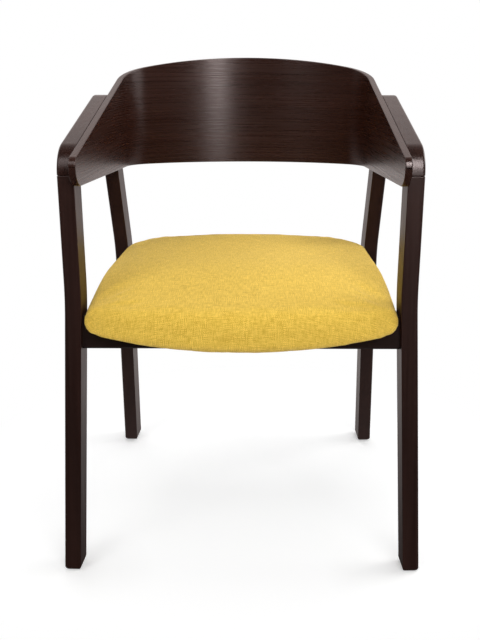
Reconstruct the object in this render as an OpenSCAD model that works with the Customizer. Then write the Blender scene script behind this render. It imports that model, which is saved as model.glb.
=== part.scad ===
// Wooden armchair: two bent side frames, a moulded plywood back that runs on as the inner arms,
// and an upholstered seat on a screwed seat frame. Millimetres, +Z up, the sitter faces -Y.
// The origin is on the floor, under the middle of the chair.

/* [Side frames] */
// Half of the width over both side frames at the seat line, at the front legs
half_width = 269; // [240:1:310]
// Thickness of the side frames
frame_w = 26; // [22:0.5:32]
// Height at which the side frames bend from splaying down to flaring up
knee_z = 444; // [420:1:470]
// Length over which that bend runs
knee_length = 56; // [20:1:80]
// Angle of the legs below the bend, outwards to the floor
splay_angle = 1.7; // [0:0.1:3]
// Angle of the frames above the bend, outwards to the arms
flare_angle = 1.85; // [0:0.1:3]
// Angle by which each side frame turns in towards the rear
toe_in_angle = 2.3; // [0:0.1:4]
// Roundness of the long edges of the legs and arms, on their outer face
edge_r = 4; // [2:0.5:6]
// Roundness of their long edges on the inner face
inner_edge_r = 1; // [0.5:0.5:3]
// Chamfer round the joints between the legs and the arms
joint_chamfer = 0.8; // [0.3:0.1:1.5]
// Roundness round the bottom of each foot
foot_r = 6; // [2:0.5:8]

/* [Front legs] */
// Depth of the front leg at the floor, front to rear
front_foot_d = 38; // [32:0.5:42]
// Height of the joint between the front leg and the arm
front_joint_z = 635; // [615:1:645]

/* [Rear legs] */
// Distance from the front legs' front face to the front of the rear foot
rear_foot_y = 495; // [460:1:520]
// Depth of the rear leg at the floor, front to rear
rear_foot_d = 48; // [40:0.5:54]
// Forward lean of the rear leg below the bend
rear_lean_low = 15.1; // [10:0.1:18]
// Forward lean of the rear leg above the bend
rear_lean_high = 19.3; // [15:0.1:22]
// Height of the joint between the rear leg and the arm
rear_joint_z = 688; // [676:1:694]

/* [Arms] */
// Height at which the line of the arm's top meets the line of the leg's front
arm_front_z = 671.5; // [660:0.5:680]
// Rise of the arms towards the rear
arm_slope = 15.8; // [10:0.1:18]
// Depth of the arm, square to its top
arm_d = 42; // [38:0.5:44]
// Radius of the arm's front corner
arm_front_r = 48; // [46:1:56]
// Radius of the arm's rear corner
arm_rear_r = 64; // [56:1:72]

/* [Back shell] */
// Thickness of the moulded plywood
shell_t = 11; // [9:0.5:14]
// How far its ends stand out in front of the legs
shell_front = 29; // [15:1:45]
// Distance from the legs' front to where the shell starts to turn
shell_straight = 352; // [335:1:370]
// Radius of its outer corner at the seat line
shell_corner_r = 89; // [70:1:110]
// Radius of the back at the seat line
shell_back_r = 333; // [310:1:360]
// Height of its lower edge at the front
shell_low_z = 620; // [600:1:635]
// Drop of the lower edge towards the rear
shell_drop_angle = 2; // [0:0.1:4]
// Radius of the upper corner of each end
shell_tip_top_r = 16; // [8:1:20]
// Radius of the lower corner of each end
shell_tip_low_r = 29; // [15:1:32]
// Roundness of the shell's edges
shell_edge_r = 1.5; // [0.5:0.5:4]

/* [Seat frame] */
// Height of the top of the rails
rail_top_z = 417; // [400:1:430]
// Height of the rails
rail_h = 52; // [40:1:60]
// Thickness of the rails
rail_t = 22; // [18:1:26]
// Setback of the front rail behind the front of the legs
rail_setback = 8; // [2:1:14]
// Distance from the front legs' front face to the rear end of the side rails
rail_end_y = 434; // [428:1:438]
// Length of the corner blocks along the rails
block_length = 56; // [40:1:70]
// Height of the corner blocks
block_h = 34; // [20:1:40]
// How far the corner blocks lie under the top of the rails
block_drop = 8; // [4:1:12]
// Chamfer of the front rail's lower front edge
rail_chamfer = 3; // [1:0.5:5]

/* [Seat] */
// Thickness of the plywood seat board
board_t = 9; // [8:0.5:12]
// Gap between the cushion and the side frames
seat_gap = 3; // [2:0.1:6]
// How far the middle of the cushion's front stands out before the legs
seat_nose = 62; // [30:1:80]
// Radius of the bowed front, seen from above
seat_bow_r = 508; // [480:1:620]
// How far the cushion's front hangs below the top of the rails
seat_drop = 37; // [28:1:42]
// Height of the cushion's top over the rails at the middle
seat_h = 49.5; // [44:0.5:60]
// Height by which the top falls from the middle to the sides
seat_crown = 14; // [6:1:20]
// Height by which the underside of the front rises from the middle to the sides
seat_rise = 14; // [6:1:20]
// Radius of the rounded nose, seen from the side
seat_nose_r = 40; // [30:1:44]
// Distance from the front edge at which the top starts to fall
seat_slope_l = 190; // [170:1:230]
// Radius of that fall, seen from the side
seat_slope_r = 620; // [500:5:700]
// Angle at which the side edges fall with it
seat_tilt = 10; // [6:0.5:14]
// Radius of the front's lower edge, seen from the side
seat_low_r = 12; // [6:1:16]
// Radius of the cushion's edges along the sides, seen from the front
seat_edge_r = 18; // [8:1:24]
// Radius of those edges where they fall
seat_fall_edge_r = 22.5; // [12:0.5:28]
// Radius of the front corners, seen from above
seat_front_r = 24; // [12:1:30]
// Radius of the rear corners, seen from above
seat_corner_r = 76; // [40:1:90]
// Distance from the front legs' front face to the cushion's rear
seat_rear_y = 425; // [415:1:445]
// Foam round the edges of the seat board
foam_wrap = 8; // [5:1:12]
// Foam in front of the nose block
foam_front = 17; // [10:1:25]
// Thickness of the fabric cover
cover_t = 1.5; // [0.8:0.1:2]
// Thickness of the dust cover under the seat board
dust_t = 0.8; // [0.5:0.1:1.5]

/* [Fittings] */
// Diameter of the wooden dowels
dowel_d = 8; // [6:0.5:10]
// Length of the dowels that join the arms to the legs
joint_dowel_l = 48; // [36:1:56]
// Length of the dowels that join the rails
rail_dowel_l = 36; // [30:1:40]
// Length of the dowels between the arms and the back shell
shell_dowel_l = 24; // [18:1:26]
// How far those dowels reach into the back shell
shell_dowel_in = 6; // [4:0.5:8]
// Diameter of the frame bolts
bolt_d = 6; // [5:0.5:8]
// Length of the frame bolts under the head
bolt_l = 36; // [34:1:38]
// Diameter of the threaded inserts in the rear legs
insert_d = 11; // [9:0.5:14]
// Length of the threaded inserts
insert_l = 16; // [12:1:18]
// Diameter of the wood screws
screw_d = 4; // [3:0.5:5]
// How far the seat screws reach into the seat board
seat_screw_in = 6.5; // [4:0.5:7]
// How far the corner block screws reach into the rails
block_screw_in = 16; // [10:1:20]
// Diameter of the foot glides
glide_d = 18; // [14:1:22]
// Height of the foot glides
glide_h = 6; // [4:0.5:8]
// How far the glides stand out under the feet
glide_stand = 1; // [0.5:0.1:2]
// Clearance round dowels, bolts and screws
fit = 0.1; // [0.05:0.05:0.3]
// Gap at glued and seated faces
seam = 0.1; // [0.05:0.05:0.3]
// Gap round the soft seat pieces
soft_gap = 0.3; // [0.2:0.1:0.6]

/* [Hidden] */
$fn = 64;

left = -1;
right = 1;

wood_colour = [0.16, 0.09, 0.075];
shell_colour = [0.24, 0.13, 0.10];
fabric_colour = [0.86, 0.70, 0.28];
hidden_wood_colour = [0.62, 0.47, 0.30];
foam_colour = [0.90, 0.88, 0.80];
cloth_colour = [0.08, 0.08, 0.08];
steel_colour = [0.60, 0.60, 0.62];
brass_colour = [0.72, 0.58, 0.28];
glide_colour = [0.10, 0.10, 0.10];

// Value at t of two lines with slopes low and high that meet at t = 0, eased over +-half.
function eased(t, half, low, high) =
    t <= -half ? low * t : t >= half ? high * t : low * t + (high - low) * pow(t + half, 2) / (4 * half);

// How far the outer face of a side frame lies outside its place at the bend, at height z.
function frame_out(z) = eased(z - knee_z, knee_length / 2, -tan(splay_angle), tan(flare_angle));

// Front face and depth of the rear leg at height z.
function rear_y(z) = rear_knee_y + eased(z - knee_z, knee_length / 2, -tan(rear_lean_low), -tan(rear_lean_high));
rear_knee_y = rear_foot_y - knee_z * tan(rear_lean_low);
rear_top_d = arm_d / cos(rear_lean_high);
function rear_d(z) = rear_foot_d + (rear_top_d - rear_foot_d) * min(z / rear_joint_z, 1);

// Depth of the front leg at height z.
function front_d(z) = front_foot_d + (arm_d - front_foot_d) * z / front_joint_z;

// Where the front legs' front face lies, so that the nose of the cushion and the backs of the
// rear feet are as far from the origin.
foot_z = glide_stand + foot_r;
rear_reach =
    (rear_y(foot_z) + rear_d(foot_z)) * cos(toe_in_angle) + (frame_out(foot_z) - edge_r) * sin(toe_in_angle);
front_y = (seat_nose - rear_reach) / 2;

// Height of the line of the arm's top, y behind the legs' front face.
function arm_top(y) = arm_front_z + y * tan(arm_slope);

// Centres of the arm's two corners, as [y, z]. Each circle touches the arm's top line;
// the first also touches the legs' front line and the second the rear leg's back line.
arm_front_c = [arm_front_r, arm_top(arm_front_r) - arm_front_r / cos(arm_slope)];
rear_back_0 = rear_knee_y + rear_top_d + knee_z * tan(rear_lean_high);
arm_rear_y =
    (rear_back_0 - tan(rear_lean_high) * (arm_front_z - arm_rear_r / cos(arm_slope)) - arm_rear_r / cos(rear_lean_high))
    / (1 + tan(rear_lean_high) * tan(arm_slope));
arm_rear_c = [arm_rear_y, arm_top(arm_rear_y) - arm_rear_r / cos(arm_slope)];

// Points of a rectangle with rounded corners, counter-clockwise; each corner has steps + 1 points.
// The corners at x1 have radius r, and those at x0 have radius s.
function rounded_box(x0, y0, x1, y1, r, s, steps = 3) = [
    for (
        c = [
            [x1 - r, y1 - r, r, 0],
            [x0 + s, y1 - s, s, 90],
            [x0 + s, y0 + s, s, 180],
            [x1 - r, y0 + r, r, 270],
        ]
    )
        for (i = [0 : steps])
            [c[0] + c[2] * cos(c[3] + 90 * i / steps), c[1] + c[2] * sin(c[3] + 90 * i / steps)]
];

// A ring of a side frame's bar. It starts at p = [y, z] on the outer outline and is d deep along n.
function bar_ring(p, n, d, inset = 0) = [
    for (q = rounded_box(inset - frame_w, inset, -inset, d - inset, edge_r, inner_edge_r))
        let (y = p[0] + n[0] * q[1], z = p[1] + n[1] * q[1])
            [frame_out(z) + q[0], y, z]
];

// A solid through rings of points that all run the same way round.
module loft(rings) {
    count = len(rings[0]);
    last = len(rings) - 1;
    polyhedron(
        points = [for (ring = rings) each ring],
        faces = [
            [for (i = [0 : count - 1]) i],
            [for (i = [count - 1 : -1 : 0]) last * count + i],
            for (k = [0 : last - 1])
                for (i = [0 : count - 1])
                    let (j = (i + 1) % count)
                        each [
                            [k * count + i, (k + 1) * count + i, (k + 1) * count + j],
                            [k * count + i, (k + 1) * count + j, k * count + j],
                        ],
        ]
    );
}

// Places what is drawn in a side frame's own axes: x = 0 is its outer face at the bend,
// y runs to the rear from the front of the legs, and z is the height.
module on_side(side) {
    mirror([side == left ? 1 : 0, 0, 0])
        translate([half_width, front_y, 0])
            rotate([0, 0, toe_in_angle])
                children();
}

// Heights of a leg's rings: round the foot, through the bend, and at the top.
foot_steps = [0, 30, 60, 90];
function leg_heights(top) = concat(
    [for (a = foot_steps) glide_stand + foot_r * (1 - cos(a))],
    [for (i = [-4 : 4]) knee_z + knee_length * i / 8],
    [top - joint_chamfer, top]
);

// How far a leg's ring is drawn in at height z: it is rounded at the foot and chamfered at the joint.
function end_inset(z, top) =
    z < foot_z ? foot_r - sqrt(pow(foot_r, 2) - pow(foot_z - z, 2)) : max(z - top + joint_chamfer, 0);

module front_leg_blank() {
    top = front_joint_z - seam / 2;
    loft([for (z = leg_heights(top)) bar_ring([0, z], [1, 0], front_d(z), end_inset(z, top))]);
}

module rear_leg_blank() {
    top = rear_joint_z - seam / 2;
    loft([for (z = leg_heights(top)) bar_ring([rear_y(z), z], [1, 0], rear_d(z), end_inset(z, top))]);
}

corner_step = 5;
function arc_ring(c, r, a) = bar_ring(c + r * [cos(a), sin(a)], -[cos(a), sin(a)], arm_d);

module arm_blank() {
    low = front_joint_z + seam / 2;
    high = rear_joint_z + seam / 2;
    loft(concat(
        [
            bar_ring([0, low], [1, 0], front_d(front_joint_z), joint_chamfer),
            bar_ring([0, low + joint_chamfer], [1, 0], front_d(front_joint_z)),
        ],
        [for (a = [180 - corner_step : -corner_step : 90 + arm_slope + corner_step / 2]) arc_ring(arm_front_c, arm_front_r, a)],
        [arc_ring(arm_front_c, arm_front_r, 90 + arm_slope), arc_ring(arm_rear_c, arm_rear_r, 90 + arm_slope)],
        [for (a = [90 + arm_slope - corner_step : -corner_step : rear_lean_high + corner_step / 2]) arc_ring(arm_rear_c, arm_rear_r, a)],
        [arc_ring(arm_rear_c, arm_rear_r, rear_lean_high)],
        [
            bar_ring([rear_y(high + joint_chamfer) + rear_top_d, high + joint_chamfer], [-1, 0], rear_top_d),
            bar_ring([rear_y(high) + rear_top_d, high], [-1, 0], rear_top_d, joint_chamfer),
        ]
    ));
}

// Dowels of the arm joints, in a side frame's axes.
joint_dowel_inset = 12;
module front_joint_dowels(extra = 0) {
    for (y = [joint_dowel_inset, arm_d - joint_dowel_inset])
        translate([frame_out(front_joint_z) - frame_w / 2, y, front_joint_z])
            rotate([0, flare_angle, 0])
                cylinder(d = dowel_d + 2 * extra, h = joint_dowel_l + 2 * extra, center = true);
}
module rear_joint_dowels(extra = 0) {
    for (y = [joint_dowel_inset, rear_top_d - joint_dowel_inset])
        translate([frame_out(rear_joint_z) - frame_w / 2, rear_y(rear_joint_z) + y, rear_joint_z])
            rotate([0, flare_angle, 0])
                rotate([rear_lean_high, 0, 0])
                    cylinder(d = dowel_d + 2 * extra, h = joint_dowel_l + 2 * extra, center = true);
}

// Dowels between the arm and the back shell, in a side frame's axes.
shell_dowel_ys = [70, 150, 230];
module shell_joint_dowels(extra = 0) {
    for (y = shell_dowel_ys)
        translate([frame_out(arm_top(y) - arm_d / 2) - frame_w, y, arm_top(y) - arm_d / 2])
            rotate([0, 90 + flare_angle, 0])
                translate([0, 0, -shell_dowel_in - extra])
                    cylinder(d = dowel_d + 2 * extra, h = shell_dowel_l + 2 * extra);
}

// Frame bolts through the side rail into an insert in the rear leg, in a side frame's axes.
bolt_zs = [rail_top_z - rail_h * 0.25, rail_top_z - rail_h * 0.75];
bolt_head_d = bolt_d * 2;
bolt_head_h = bolt_d * 0.6;
bolt_y = rail_end_y - rail_t - bolt_head_d / 2 - 2;
module at_bolts() {
    for (z = bolt_zs)
        translate([frame_out(z) - frame_w - seam, bolt_y, z])
            rotate([0, 90 - splay_angle, 0])
                children();
}
module bolts(extra = 0) {
    at_bolts() {
        translate([0, 0, bolt_head_h - rail_t])
            cylinder(d = bolt_d + 2 * extra, h = bolt_l + extra);
        translate([0, 0, -rail_t - extra])
            cylinder(d = bolt_head_d + 2 * extra, h = bolt_head_h + 2 * extra);
    }
}
insert_depth = 2;
module inserts(extra = 0) {
    at_bolts()
        translate([0, 0, insert_depth - extra])
            cylinder(d = insert_d + 2 * extra, h = insert_l + 2 * extra);
}

// Dowels of the rails, in a side frame's axes: front rail into leg, and side rail into front rail.
rail_dowel_zs = [rail_top_z - rail_h * 0.25, rail_top_z - rail_h * 0.75];
front_rail_y = rail_setback + rail_t / 2;
rear_rail_y = rail_end_y - rail_t / 2;
rail_dowel_share = 0.45;
function rail_x(z) = frame_out(z) - frame_w - seam;
module rail_end_dowels(extra = 0) {
    for (z = rail_dowel_zs)
        translate([rail_x(z), front_rail_y, z])
            rotate([0, 0, -toe_in_angle])
                rotate([0, 90, 0])
                    translate([0, 0, rail_dowel_l * (rail_dowel_share - 1) - extra])
                        cylinder(d = dowel_d + 2 * extra, h = rail_dowel_l + 2 * extra);
}
module side_rail_dowels(extra = 0) {
    z = rail_top_z - rail_h / 2;
    translate([rail_x(z) - rail_t / 2, rail_setback + rail_t, z])
        rotate([-90, 0, 0])
            translate([0, 0, -rail_dowel_l * rail_dowel_share - extra])
                cylinder(d = dowel_d + 2 * extra, h = rail_dowel_l + 2 * extra);
}
module rear_rail_dowels(extra = 0) {
    for (z = rail_dowel_zs)
        translate([rail_x(z) - rail_t, rear_rail_y, z])
            rotate([0, 0, -toe_in_angle])
                rotate([0, 90, 0])
                    translate([0, 0, rail_dowel_l * (rail_dowel_share - 1) - extra])
                        cylinder(d = dowel_d + 2 * extra, h = rail_dowel_l + 2 * extra);
}

// Foot glides, in a side frame's axes.
module glides(extra = 0) {
    for (y = [front_foot_d / 2, rear_y(0) + rear_foot_d / 2])
        translate([frame_out(0) - frame_w / 2, y, 0])
            cylinder(d = glide_d + 2 * extra, h = glide_h + extra);
}

module front_leg(side) {
    color(wood_colour)
        on_side(side)
            difference() {
                front_leg_blank();
                front_joint_dowels(fit);
                rail_end_dowels(fit);
                glides(fit);
            }
}

module rear_leg(side) {
    color(wood_colour)
        on_side(side)
            difference() {
                rear_leg_blank();
                rear_joint_dowels(fit);
                bolts(fit);
                inserts(fit);
                glides(fit);
            }
}

module arm(side) {
    color(wood_colour)
        on_side(side)
            difference() {
                arm_blank();
                front_joint_dowels(fit);
                rear_joint_dowels(fit);
                shell_joint_dowels(fit);
            }
}

// The back shell's plan at the seat line. Its right half is a straight run on the arm's inner face,
// a corner and the back, given by the point on its outer face and the outward direction there.
shell_x = -frame_w - seam;
function turned(v) = [
    v[0] * cos(toe_in_angle) - v[1] * sin(toe_in_angle),
    v[0] * sin(toe_in_angle) + v[1] * cos(toe_in_angle),
];
function plan(v) = [half_width, front_y] + turned(v);
function facing(a) = [cos(a), sin(a)];
corner_c = plan([shell_x - shell_corner_r, shell_straight]);
corner_end = acos(corner_c[0] / (shell_back_r - shell_corner_r));
back_c = corner_c - (shell_back_r - shell_corner_r) * facing(corner_end);

// Each station is [point, outward direction, distance behind the shell's front end].
tip_steps = 8;
shell_stations = concat(
    [for (i = [0 : 2]) shell_edge_r * (1 - cos(30 * i))],
    [for (i = [2 : tip_steps]) shell_tip_low_r * (1 - cos(90 * i / tip_steps))],
    [(shell_front + shell_straight) / 3, (shell_front + shell_straight) * 2 / 3, shell_front + shell_straight]
);
corner_steps = 13;
back_steps = 12;
shell_half = concat(
    [for (s = shell_stations) [plan([shell_x, s - shell_front]), facing(toe_in_angle), s]],
    [
        for (i = [1 : corner_steps])
            let (a = toe_in_angle + (corner_end - toe_in_angle) * i / corner_steps)
                [corner_c + shell_corner_r * facing(a), facing(a), shell_front + shell_straight]
    ],
    [
        for (i = [1 : back_steps])
            let (a = corner_end + (90 - corner_end) * i / back_steps)
                [back_c + shell_back_r * facing(a), facing(a), shell_front + shell_straight]
    ]
);

// Heights of the shell's edges at a station. The upper edge lies in the plane of the arms' tops.
// The shell leans out as the side frames flare, which moves its upper edge back a little.
function line_top(station) =
    let (lean = station[1][1] * tan(flare_angle), rise = tan(arm_slope) / cos(toe_in_angle))
        (arm_front_z + rise * (station[0][1] - front_y - lean * knee_z)) / (1 - rise * lean);
function line_low(station) = shell_low_z - tan(shell_drop_angle) * (station[0][1] - front_y);
tip_top_rise = shell_tip_top_r * (tan(arm_slope) - 1 / cos(arm_slope));
function rounded(s, r) = s >= r ? 0 : r - sqrt(pow(r, 2) - pow(r - s, 2));
function shell_top(station) =
    let (
        s = station[2],
        start = arm_top(-shell_front),
        centre = start + tip_top_rise,
        touch = shell_tip_top_r * (1 - sin(arm_slope))
    )
        s >= touch ? line_top(station) : centre + shell_tip_top_r - rounded(s, shell_tip_top_r);
function shell_low(station) = line_low(station) + rounded(station[2], shell_tip_low_r);

function shell_ring(station) =
    let (t = rounded(station[2], shell_edge_r), r = shell_edge_r)
        [
            for (q = rounded_box(shell_low(station), t - shell_t, shell_top(station), -t, r, r, 2))
                let (p = station[0] + station[1] * (q[1] + frame_out(q[0])))
                    [p[0], p[1], q[0]]
        ];
function mirrored(ring) = [for (q = ring) [-q[0], q[1], q[2]]];

module back_shell() {
    rings = [for (station = shell_half) shell_ring(station)];
    color(shell_colour)
        difference() {
            loft(concat(rings, [for (k = [len(rings) - 2 : -1 : 0]) mirrored(rings[k])]));
            for (side = [left, right])
                on_side(side)
                    shell_joint_dowels(fit);
        }
}

// The space between the side frames, inset from their inner faces, below or above the bend.
space_l = seat_nose + rear_foot_y + rear_foot_d;
space_z = [
    rail_top_z - 2 * rail_h,
    knee_z - knee_length / 2,
    knee_z + knee_length / 2,
    rail_top_z + seat_h + seat_nose_r,
];
module between_frames(inset) {
    intersection_for(side = [left, right])
        on_side(side)
            translate([0, space_l, 0])
                rotate([90, 0, 0])
                    linear_extrude(height = 1.5 * space_l)
                        polygon(concat(
                            [for (z = space_z) [frame_out(z) - frame_w - inset, z]],
                            [[-1.5 * space_l, space_z[3]], [-1.5 * space_l, space_z[0]]]
                        ));
}

// A block between two distances behind the legs' front face and two heights, across the chair.
module across(y0, y1, z0, z1) {
    translate([-half_width, front_y + y0, z0])
        cube([2 * half_width, y1 - y0, z1 - z0]);
}

rail_low_z = rail_top_z - rail_h;

module front_rail() {
    color(wood_colour)
        difference() {
            intersection() {
                across(rail_setback, rail_setback + rail_t, rail_low_z, rail_top_z);
                between_frames(seam);
            }
            translate([0, front_y + rail_setback, rail_low_z])
                rotate([45, 0, 0])
                    cube([2 * half_width, rail_chamfer * sqrt(2), rail_chamfer * sqrt(2)], center = true);
            for (side = [left, right]) {
                on_side(side) {
                    rail_end_dowels(fit);
                    side_rail_dowels(fit);
                }
                at_block(side, "front")
                    block_screws(fit);
            }
        }
}

module rear_rail() {
    color(wood_colour)
        difference() {
            intersection() {
                across(rear_rail_y - rail_t / 2, rear_rail_y + rail_t / 2, rail_low_z, rail_top_z);
                between_frames(rail_t + 2 * seam);
            }
            for (side = [left, right]) {
                on_side(side)
                    rear_rail_dowels(fit);
                at_block(side, "rear")
                    block_screws(fit);
            }
        }
}

module side_rail(side) {
    color(wood_colour)
        difference() {
            intersection() {
                across(rail_setback + rail_t + seam, rail_end_y, rail_low_z, rail_top_z);
                difference() {
                    between_frames(seam);
                    between_frames(rail_t + seam);
                }
                translate([side == left ? -half_width : 0, front_y, 0])
                    cube([half_width, space_l, space_z[3]]);
            }
            on_side(side) {
                side_rail_dowels(fit);
                rear_rail_dowels(fit);
                bolts(fit);
            }
            for (end = ["front", "rear"])
                at_block(side, end)
                    block_screws(fit);
        }
}

// Corner blocks. Each is a triangle in the corner between two rails, with its point cut off.
block_top_z = rail_top_z - block_drop;
block_nose = 12;
block_hole_x = 17;
block_hole_y = 17;
block_screw_place = 0.62;
function block_corner_y(end) =
    end == "front" ? rail_setback + rail_t + seam : rear_rail_y - rail_t / 2 - seam;
block_corner_x = -frame_w - rail_t - 3 * seam;

// Places a corner block's own axes: x runs inwards and y runs away from the cross rail.
module at_block(side, end) {
    mirror([side == left ? 1 : 0, 0, 0])
        translate([plan([block_corner_x, block_corner_y(end)])[0], front_y + block_corner_y(end), 0])
            mirror([1, 0, 0])
                mirror([0, end == "front" ? 0 : 1, 0])
                    children();
}

// Screws that cross the block's sloping face at right angles, one into each rail.
module block_screws(extra = 0) {
    run = (block_nose + block_length * (1 - block_screw_place)) / sqrt(2);
    for (flip = [0, 1])
        mirror([flip, -flip, 0])
            translate([block_length * block_screw_place, 0, block_top_z - block_h / 2])
                rotate([0, 0, -45])
                    rotate([90, 0, 0])
                        translate([0, 0, -run - extra])
                            wood_screw(run + block_screw_in + extra, extra);
}

// A countersunk wood screw that points along +Z from its head's face at z = 0.
screw_head_h = screw_d * 0.6;
module wood_screw(length, extra = 0) {
    cylinder(d1 = screw_d * 2 + 2 * extra, d2 = screw_d + 2 * extra, h = screw_head_h);
    cylinder(d = screw_d + 2 * extra, h = length + extra);
}

module seat_screw(extra = 0) {
    translate([block_hole_x, block_hole_y, block_top_z - block_h])
        wood_screw(block_h + board_z - block_top_z + seat_screw_in, extra);
}

module corner_block(side, end) {
    color(hidden_wood_colour)
        difference() {
            intersection() {
                at_block(side, end)
                    translate([0, 0, block_top_z - block_h])
                        linear_extrude(height = block_h)
                            polygon([
                                [-block_nose, 0],
                                [block_length, 0],
                                [block_length, block_nose],
                                [block_nose, block_length],
                                [-block_nose, block_length],
                            ]);
                between_frames(rail_t + 2 * seam);
            }
            at_block(side, end) {
                seat_screw(fit);
                block_screws(fit);
            }
        }
}

// The cushion. Its front is turned about a point on the middle line, behind the nose.
seat_top_z = rail_top_z + seat_h;
seat_low_z = rail_top_z - seat_drop;
bow_y = front_y - seat_nose + seat_bow_r;
side_half = half_width - frame_w - seat_gap;

// Radius of an arc that falls by drop over half its width.
function arch_r(half, drop) = (pow(half, 2) + pow(drop, 2)) / (2 * drop);

seat_crown_r = arch_r(side_half, seat_crown);
seat_crown_z = seat_top_z - seat_crown_r;

// Side view of the cushion from the bow's centre to the nose, shrunk by inset. The top is level,
// then falls along an arc, and the nose's arc runs on from that down to the upright front.
module seat_section(inset) {
    nose_x = seat_bow_r - seat_nose_r;
    low_x = seat_bow_r - seat_low_r;
    low_z = seat_low_z + seat_low_r;
    slope_x = seat_bow_r - seat_slope_l;
    slope_z = seat_top_z - seat_slope_r;
    slope_angle = asin((nose_x - slope_x) / (seat_slope_r - seat_nose_r));
    nose_z = slope_z + (seat_slope_r - seat_nose_r) * cos(slope_angle);
    intersection() {
        union() {
            square([slope_x, seat_top_z - inset]);
            intersection() {
                translate([slope_x, slope_z])
                    circle(r = seat_slope_r - inset, $fn = 360);
                polygon([
                    [slope_x, slope_z],
                    [slope_x, slope_z + 2 * seat_slope_r],
                    [slope_x + 2 * seat_slope_r * tan(slope_angle), slope_z + 2 * seat_slope_r],
                ]);
            }
            polygon([
                [slope_x, 0],
                [nose_x, 0],
                [nose_x, nose_z],
                [slope_x, slope_z] + (seat_slope_r - inset) * [sin(slope_angle), cos(slope_angle)],
            ]);
            translate([nose_x, nose_z])
                circle(r = seat_nose_r - inset);
            translate([nose_x, low_z])
                square([seat_nose_r - inset, nose_z - low_z]);
            square([low_x, nose_z]);
            translate([low_x, low_z])
                circle(r = seat_low_r - inset);
        }
        translate([0, seat_low_z + inset])
            square([seat_bow_r, space_z[3]]);
    }
}

// Front view of the cushion's top, shrunk by inset: rounded upper edges of radius r under the crown.
module seat_top_view(inset, r) {
    edge_x = side_half - r;
    edge_z = seat_crown_z + sqrt(pow(seat_crown_r - r, 2) - pow(edge_x, 2));
    translate([-edge_x, 0])
        square([2 * edge_x, space_z[3]]);
    for (x = [-edge_x, edge_x])
        translate([x, edge_z])
            circle(r = r - inset);
    translate([inset - side_half, 0])
        square([2 * (side_half - inset), edge_z]);
}

// Front view of the cushion's underside, shrunk by inset: an arch with rounded lower edges.
module seat_low_view(inset) {
    edge_x = side_half - seat_low_r;
    rise_r = arch_r(side_half, seat_rise);
    rise_z = seat_low_z + rise_r;
    edge_z = rise_z - sqrt(pow(rise_r - seat_low_r, 2) - pow(edge_x, 2));
    intersection() {
        translate([0, rise_z])
            circle(r = rise_r - inset, $fn = 360);
        translate([-edge_x, edge_z - seat_drop])
            square([2 * edge_x, seat_drop]);
    }
    for (x = [-edge_x, edge_x])
        translate([x, edge_z])
            circle(r = seat_low_r - inset);
    translate([inset - side_half, edge_z])
        square([2 * (side_half - inset), space_z[3] - edge_z]);
}

// Draws a front view out along the chair.
module drawn_along() {
    rotate([90, 0, 0])
        linear_extrude(height = 3 * space_l, center = true)
            children();
}

// The cushion's outline from above, shrunk by inset. The bow of its front is left to the section.
module seat_plan(inset) {
    toe = tan(toe_in_angle);
    front_x = side_half - seat_front_r;
    front_corner_y = bow_y - sqrt(pow(seat_bow_r - seat_front_r, 2) - pow(front_x, 2));
    rear_corner_y = front_y + seat_rear_y - seat_corner_r;
    rear_x = side_half - toe * (rear_corner_y - front_corner_y) - seat_corner_r;
    linear_extrude(height = space_z[3]) {
        polygon([
            [-side_half + inset, front_corner_y],
            [side_half - inset, front_corner_y],
            [rear_x + seat_corner_r - inset, rear_corner_y],
            [-rear_x - seat_corner_r + inset, rear_corner_y],
        ]);
        for (x = [-1, 1]) {
            translate([x * front_x, front_corner_y])
                circle(r = seat_front_r - inset);
            translate([x * rear_x, rear_corner_y])
                circle(r = seat_corner_r - inset);
        }
        translate([-front_x, front_corner_y - seat_bow_r])
            square([2 * front_x, seat_bow_r]);
        translate([-rear_x, rear_corner_y])
            square([2 * rear_x, seat_corner_r - inset]);
    }
}

// The room that the cushion leaves for the seat frame behind the front rail's face.
module frame_room() {
    across(rail_setback - soft_gap, space_l, space_z[0], rail_top_z + soft_gap);
}

// The top view is used twice, level and then tilted where the top falls, so that the edges stay round.
module cushion(inset) {
    intersection() {
        translate([0, bow_y, 0])
            rotate([0, 0, 180])
                rotate_extrude($fn = 360)
                    seat_section(inset);
        drawn_along()
            translate([0, seat_crown_z])
                circle(r = seat_crown_r - inset, $fn = 360);
        drawn_along()
            seat_top_view(inset, seat_edge_r);
        translate([0, front_y + seat_slope_l - seat_nose, seat_top_z])
            rotate([seat_tilt, 0, 0])
                translate([0, 0, -seat_top_z])
                    drawn_along()
                        seat_top_view(inset, seat_fall_edge_r);
        drawn_along()
            seat_low_view(inset);
        seat_plan(inset);
    }
}

// The seat board's outline and the nose block's, with extra room all round.
board_r = seat_bow_r - foam_front;
module board_room(extra) {
    intersection() {
        translate([0, bow_y, 0])
            cylinder(r = board_r + extra, h = space_z[3], $fn = 360);
        seat_plan(foam_wrap - extra);
    }
}

board_z = rail_top_z + soft_gap;

module seat_board() {
    color(hidden_wood_colour)
        difference() {
            intersection() {
                board_room(0);
                across(-space_l, space_l, board_z, board_z + board_t);
            }
            for (side = [left, right])
                for (end = ["front", "rear"])
                    at_block(side, end)
                        seat_screw(fit);
        }
}

module seat_nose_block() {
    color(hidden_wood_colour)
        intersection() {
            board_room(0);
            across(-space_l, rail_setback - soft_gap, seat_low_z, board_z);
            cushion(cover_t + 2 * soft_gap);
        }
}

module seat_foam() {
    color(foam_colour)
        difference() {
            cushion(cover_t + soft_gap);
            board_room_prism(soft_gap);
            frame_room();
        }
}

// The board and the nose block with room round them, down through the cushion's underside.
module board_room_prism(extra) {
    intersection() {
        board_room(extra);
        across(-space_l, space_l, space_z[0], board_z + board_t + extra);
    }
}

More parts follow.
